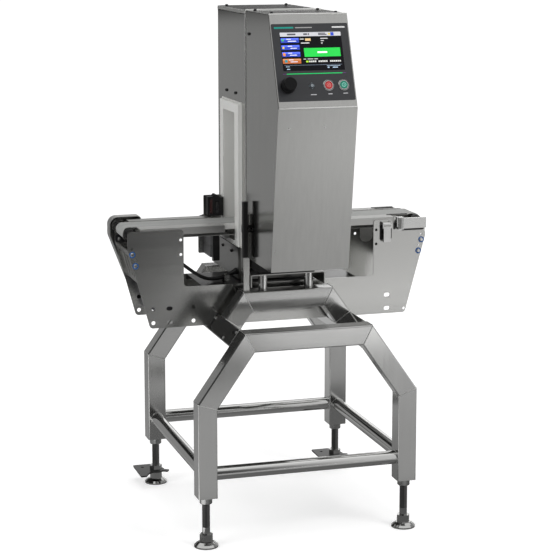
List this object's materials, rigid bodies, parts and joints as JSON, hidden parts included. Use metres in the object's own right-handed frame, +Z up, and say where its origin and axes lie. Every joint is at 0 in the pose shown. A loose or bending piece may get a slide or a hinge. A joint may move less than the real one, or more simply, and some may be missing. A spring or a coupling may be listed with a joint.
{
  "type": "conveyor metal detector",
  "caption": "Vertical metal detector: tall narrow search head with an upright aperture, a sloped display, a short belt conveyor through it and a square-tube stand on levelling feet.",
  "frame": {"origin": "on the floor under the middle of the machine's bounding box", "axes": "+X along the belt to the right, +Y to the rear, away from the display, +Z up"},
  "size_m": [0.9997, 0.8572, 1.616],
  "materials": {
    "stainless_tube": "polished tube with soft reflections",
    "stainless_sheet": "satin brushed sheet",
    "conveyor_sheet": "satin sheet",
    "turned_steel": "turned and polished",
    "zinc_plate": "dark plate",
    "black_plastic": "matte black",
    "frame_plastic": "light grey plastic",
    "bed_plastic": "off-white sliding plastic",
    "belt": "light grey belt",
    "timing_rubber": "black rubber",
    "coil_resin": "potted winding",
    "circuit_plate": "plain plate with modules",
    "overlay": "dark membrane panel",
    "screen": "screen",
    "white_key": "grey key",
    "red_key": "red key",
    "green_key": "green key",
    "key_ring": "bright ring",
    "rubber_pad": "black rubber",
    "lead_rubber": "black jacket",
    "amplifier_case": "grey case",
    "motor_paint": "grey paint"
  },
  "bodies": {
    "machine": {"aperture_frames": "frame_plastic", "aperture_liner": "bed_plastic", "arch_bars": "stainless_tube", "base_bolts": "turned_steel", "base_bracket": "stainless_sheet", "base_posts": "turned_steel", "bed_sides": "conveyor_sheet", "belt": "belt", "chassis_plate": "circuit_plate", "cross_members": "conveyor_sheet", "deck_tray": "conveyor_sheet", "display_overlay": "overlay", "drive_guard": "conveyor_sheet", "drive_lead": "lead_rubber", "drive_motor": "motor_paint", "front_housing": "stainless_sheet", "front_legs": "stainless_tube", "front_plate": "conveyor_sheet", "front_sensor_post": "conveyor_sheet", "head_screws": "black_plastic", "head_shell": "stainless_sheet", "isolators": "rubber_pad", "key_rings": "key_ring", "latch_bases": "conveyor_sheet", "lcd_screen": "screen", "leg_bosses": "turned_steel", "lower_cover": "stainless_sheet", "pedestal": "stainless_sheet", "rear_legs": "stainless_tube", "rear_plate": "conveyor_sheet", "rear_sensor": "black_plastic", "rear_sensor_bracket": "conveyor_sheet", "roller_bearings": "black_plastic", "saddle_blocks": "conveyor_sheet", "search_coils": "coil_resin", "sensor_amplifier": "amplifier_case", "side_members": "stainless_tube", "stretchers": "stainless_tube", "tension_bolts": "turned_steel", "timing_belt": "timing_rubber", "tunnel_bed": "bed_plastic", "upper_bars": "stainless_tube", "upper_legs": "stainless_tube"},
    "foot_fl": {"foot_front_left": "turned_steel"},
    "foot_fr": {"foot_front_right": "turned_steel"},
    "foot_rl": {"foot_rear_left": "turned_steel", "anchor_plate_left": "zinc_plate"},
    "foot_rr": {"foot_rear_right": "turned_steel", "anchor_plate_right": "zinc_plate"},
    "drive_roller_body": {"drive_roller": "turned_steel"},
    "tail_roller_body": {"tail_roller": "turned_steel"},
    "motor_pulley_body": {"motor_pulley": "turned_steel"},
    "side_latch": {"side_latch_lever": "conveyor_sheet"},
    "end_latch": {"end_latch_lever": "conveyor_sheet"},
    "dial_body": {"dial": "black_plastic"},
    "home_key_body": {"home_key": "white_key"},
    "stop_key_body": {"stop_key": "red_key"},
    "start_key_body": {"start_key": "green_key"},
    "light_bar": {"front_light_bar": "black_plastic"},
    "clamp_knob_body": {"clamp_knob": "black_plastic"}
  },
  "joints": [
    {"name": "foot_fl_height", "type": "slide", "parent": "machine", "child": "foot_fl", "axis": [0, 0, 1], "range_m": [-0.03, 0.04]},
    {"name": "foot_fr_height", "type": "slide", "parent": "machine", "child": "foot_fr", "axis": [0, 0, 1], "range_m": [-0.03, 0.04]},
    {"name": "foot_rl_height", "type": "slide", "parent": "machine", "child": "foot_rl", "axis": [0, 0, 1], "range_m": [-0.03, 0.04]},
    {"name": "foot_rr_height", "type": "slide", "parent": "machine", "child": "foot_rr", "axis": [0, 0, 1], "range_m": [-0.03, 0.04]},
    {"name": "drive_roller_spin", "type": "hinge", "parent": "machine", "child": "drive_roller_body", "pos_m": [-0.46985, 0.0776, 0.9187], "axis": [0, 1, 0], "continuous": true},
    {"name": "tail_roller_spin", "type": "hinge", "parent": "machine", "child": "tail_roller_body", "pos_m": [0.47955, 0.0776, 0.9187], "axis": [0, 1, 0], "continuous": true},
    {"name": "motor_pulley_spin", "type": "hinge", "parent": "machine", "child": "motor_pulley_body", "pos_m": [-0.36515, 0.1826, 0.69], "axis": [0, 1, 0], "continuous": true},
    {"name": "side_latch_turn", "type": "hinge", "parent": "machine", "child": "side_latch", "pos_m": [0.35985, -0.0404, 0.918], "axis": [-1, 0, 0], "range_deg": [0, 120]},
    {"name": "end_latch_turn", "type": "hinge", "parent": "machine", "child": "end_latch", "pos_m": [0.40885, -0.0404, 0.92], "axis": [0, 0, -1], "range_deg": [0, 100]},
    {"name": "dial_turn", "type": "hinge", "parent": "machine", "child": "dial_body", "pos_m": [-0.08215, -0.39117, 1.40451], "axis": [0, -0.9343, 0.3564], "continuous": true},
    {"name": "home_key_press", "type": "slide", "parent": "machine", "child": "home_key_body", "axis": [0, 0.9343, -0.3564], "range_m": [0, 0.002], "stiffness_N_per_m": 800},
    {"name": "stop_key_press", "type": "slide", "parent": "machine", "child": "stop_key_body", "axis": [0, 0.9343, -0.3564], "range_m": [0, 0.002], "stiffness_N_per_m": 800},
    {"name": "start_key_press", "type": "slide", "parent": "machine", "child": "start_key_body", "axis": [0, 0.9343, -0.3564], "range_m": [0, 0.002], "stiffness_N_per_m": 800},
    {"name": "light_bar_height", "type": "slide", "parent": "machine", "child": "light_bar", "axis": [0, 0, 1], "range_m": [-0.03, 0.03]},
    {"name": "clamp_knob_turn", "type": "hinge", "parent": "light_bar", "child": "clamp_knob_body", "pos_m": [-0.12225, -0.1084, 0.94], "axis": [0, 1, 0], "continuous": true}
  ],
  "couplings": [
    {"joint": "tail_roller_spin", "follows": "drive_roller_spin", "ratio": 1},
    {"joint": "motor_pulley_spin", "follows": "drive_roller_spin", "ratio": 1}
  ]
}
